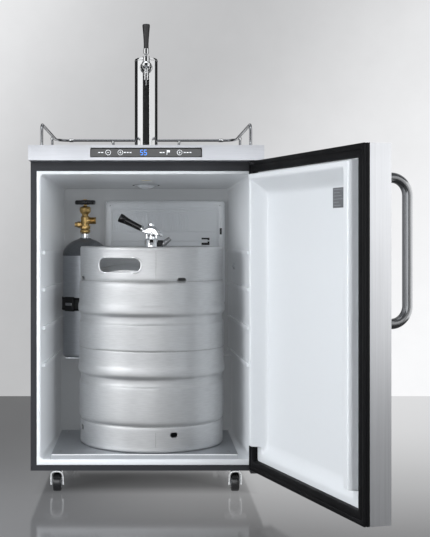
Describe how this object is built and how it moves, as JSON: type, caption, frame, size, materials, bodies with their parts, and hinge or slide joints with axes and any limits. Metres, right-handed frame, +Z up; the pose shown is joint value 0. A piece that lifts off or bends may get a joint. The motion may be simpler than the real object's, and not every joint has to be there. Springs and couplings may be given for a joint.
{
  "type": "kegerator",
  "caption": "Single-tap kegerator on casters: refrigerated cabinet with hinged door, chrome tower and tap, guard rail, keg with coupler, and gas cylinder.",
  "frame": {"origin": "on the floor under the centre of the cabinet's footprint", "axes": "+X to the right seen from the front, +Y away from the front, +Z up"},
  "size_m": [0.8622, 1.1906, 1.2505],
  "materials": {
    "cabinet_wrap": "satin",
    "front_frame": "satin",
    "rear_panel": "satin",
    "base_pan": "satin",
    "inner_liner": "satin",
    "insulation_foam": "matte",
    "control_panel": "satin",
    "display_window": "gloss",
    "worktop": "matte",
    "floor_tray": "satin",
    "rail_left": "polished",
    "rail_right": "polished",
    "rail_back": "polished",
    "rail_posts": "polished",
    "tower_flange": "polished",
    "tower_column": "polished",
    "tower_cap": "polished",
    "faucet_shank": "polished",
    "faucet_body": "polished",
    "faucet_lever": "polished",
    "tap_handle": "gloss",
    "drip_tray": "satin",
    "drip_grille": "satin",
    "evaporator_cover": "satin",
    "evaporator_coil": "satin",
    "evaporator_motor": "satin",
    "evaporator_fan": "matte",
    "lamp_lens": "gloss",
    "compressor": "satin",
    "condenser": "satin",
    "condenser_motor": "satin",
    "condenser_fan": "matte",
    "power_inlet": "matte",
    "door_skin": "satin",
    "door_foam": "matte",
    "door_liner": "satin",
    "door_gasket": "matte",
    "hinge_bushes": "matte",
    "door_handle": "satin",
    "hinge_brackets": "satin",
    "caster_plates": "polished",
    "keg_shell": "satin",
    "keg_neck": "satin",
    "coupler_body": "polished",
    "coupler_probe": "polished",
    "coupler_lever": "polished",
    "coupler_grip": "matte",
    "gas_cylinder": "satin",
    "cylinder_valve": "satin",
    "valve_handwheel": "matte",
    "cylinder_strap": "matte",
    "cylinder_bracket": "satin",
    "caster_fork_front_left": "polished",
    "caster_wheel_front_left": "matte",
    "caster_fork_front_right": "polished",
    "caster_wheel_front_right": "matte",
    "caster_fork_rear_left": "polished",
    "caster_wheel_rear_left": "matte",
    "caster_fork_rear_right": "polished",
    "caster_wheel_rear_right": "matte"
  },
  "bodies": {
    "cabinet": {"cabinet_wrap": "cabinet_wrap", "front_frame": "front_frame", "rear_panel": "rear_panel", "base_pan": "base_pan", "inner_liner": "inner_liner", "insulation_foam": "insulation_foam", "control_panel": "control_panel", "display_window": "display_window", "worktop": "worktop", "floor_tray": "floor_tray", "rail_left": "rail_left", "rail_right": "rail_right", "rail_back": "rail_back", "rail_posts": "rail_posts", "tower_flange": "tower_flange", "tower_column": "tower_column", "tower_cap": "tower_cap", "faucet_shank": "faucet_shank", "faucet_body": "faucet_body", "drip_tray": "drip_tray", "evaporator_cover": "evaporator_cover", "evaporator_coil": "evaporator_coil", "evaporator_motor": "evaporator_motor", "lamp_lens": "lamp_lens", "compressor": "compressor", "condenser": "condenser", "condenser_motor": "condenser_motor", "power_inlet": "power_inlet", "hinge_brackets": "hinge_brackets", "caster_plates": "caster_plates", "gas_cylinder": "gas_cylinder", "cylinder_valve": "cylinder_valve", "cylinder_strap": "cylinder_strap", "cylinder_bracket": "cylinder_bracket"},
    "door": {"door_skin": "door_skin", "door_foam": "door_foam", "door_liner": "door_liner", "door_gasket": "door_gasket", "door_handle": "door_handle", "hinge_bushes": "hinge_bushes"},
    "tap": {"faucet_lever": "faucet_lever", "tap_handle": "tap_handle"},
    "grille": {"drip_grille": "drip_grille"},
    "cold_rotor": {"evaporator_fan": "evaporator_fan"},
    "hot_rotor": {"condenser_fan": "condenser_fan"},
    "handwheel": {"valve_handwheel": "valve_handwheel"},
    "keg": {"keg_shell": "keg_shell", "keg_neck": "keg_neck", "coupler_body": "coupler_body"},
    "probe": {"coupler_probe": "coupler_probe"},
    "lever": {"coupler_lever": "coupler_lever", "coupler_grip": "coupler_grip"},
    "swivel_front_left": {"caster_fork_front_left": "caster_fork_front_left"},
    "wheel_front_left": {"caster_wheel_front_left": "caster_wheel_front_left"},
    "swivel_front_right": {"caster_fork_front_right": "caster_fork_front_right"},
    "wheel_front_right": {"caster_wheel_front_right": "caster_wheel_front_right"},
    "swivel_rear_left": {"caster_fork_rear_left": "caster_fork_rear_left"},
    "wheel_rear_left": {"caster_wheel_rear_left": "caster_wheel_rear_left"},
    "swivel_rear_right": {"caster_fork_rear_right": "caster_fork_rear_right"},
    "wheel_rear_right": {"caster_wheel_rear_right": "caster_wheel_rear_right"}
  },
  "joints": [
    {"name": "door_hinge", "type": "hinge", "parent": "cabinet", "child": "door", "pos_m": [0.291, -0.324, 0.47], "axis": [0, 0, 1], "range_deg": [-108, 12]},
    {"name": "tap_pull", "type": "hinge", "parent": "cabinet", "child": "tap", "pos_m": [0, -0.163, 1.1575], "axis": [1, 0, 0], "range_deg": [0, 32]},
    {"name": "grille_lift", "type": "slide", "parent": "cabinet", "child": "grille", "axis": [0, 0, 1], "range_m": [0, 0.06]},
    {"name": "cold_fan_spin", "type": "hinge", "parent": "cabinet", "child": "cold_rotor", "pos_m": [0.055, 0.181, 0.552], "axis": [0, 1, 0], "continuous": true},
    {"name": "hot_fan_spin", "type": "hinge", "parent": "cabinet", "child": "hot_rotor", "pos_m": [0.085, 0.207, 0.168], "axis": [0, 1, 0], "continuous": true},
    {"name": "gas_handwheel_turn", "type": "hinge", "parent": "cabinet", "child": "handwheel", "pos_m": [-0.181, 0.115, 0.775], "axis": [0, 0, 1], "range_deg": [0, 540]},
    {"name": "keg_slide", "type": "slide", "parent": "cabinet", "child": "keg", "axis": [0, -1, 0], "range_m": [0, 0.45]},
    {"name": "coupler_pull", "type": "hinge", "parent": "keg", "child": "lever", "pos_m": [0.015, -0.079, 0.682], "axis": [0, -1, 0], "range_deg": [0, 50]},
    {"name": "probe_slide", "type": "slide", "parent": "keg", "child": "probe", "axis": [0, 0, -1], "range_m": [0, 0.0125]},
    {"name": "swivel_front_left", "type": "hinge", "parent": "cabinet", "child": "swivel_front_left", "pos_m": [-0.235, -0.25, 0.058], "axis": [0, 0, 1], "continuous": true},
    {"name": "roll_front_left", "type": "hinge", "parent": "swivel_front_left", "child": "wheel_front_left", "pos_m": [-0.235, -0.235, 0.025], "axis": [1, 0, 0], "continuous": true},
    {"name": "swivel_front_right", "type": "hinge", "parent": "cabinet", "child": "swivel_front_right", "pos_m": [0.235, -0.25, 0.058], "axis": [0, 0, 1], "continuous": true},
    {"name": "roll_front_right", "type": "hinge", "parent": "swivel_front_right", "child": "wheel_front_right", "pos_m": [0.235, -0.235, 0.025], "axis": [1, 0, 0], "continuous": true},
    {"name": "swivel_rear_left", "type": "hinge", "parent": "cabinet", "child": "swivel_rear_left", "pos_m": [-0.235, 0.25, 0.058], "axis": [0, 0, 1], "continuous": true},
    {"name": "roll_rear_left", "type": "hinge", "parent": "swivel_rear_left", "child": "wheel_rear_left", "pos_m": [-0.235, 0.265, 0.025], "axis": [1, 0, 0], "continuous": true},
    {"name": "swivel_rear_right", "type": "hinge", "parent": "cabinet", "child": "swivel_rear_right", "pos_m": [0.235, 0.25, 0.058], "axis": [0, 0, 1], "continuous": true},
    {"name": "roll_rear_right", "type": "hinge", "parent": "swivel_rear_right", "child": "wheel_rear_right", "pos_m": [0.235, 0.265, 0.025], "axis": [1, 0, 0], "continuous": true}
  ],
  "couplings": [
    {"joint": "probe_slide", "follows": "coupler_pull", "m_per_rad": 0.01375}
  ]
}
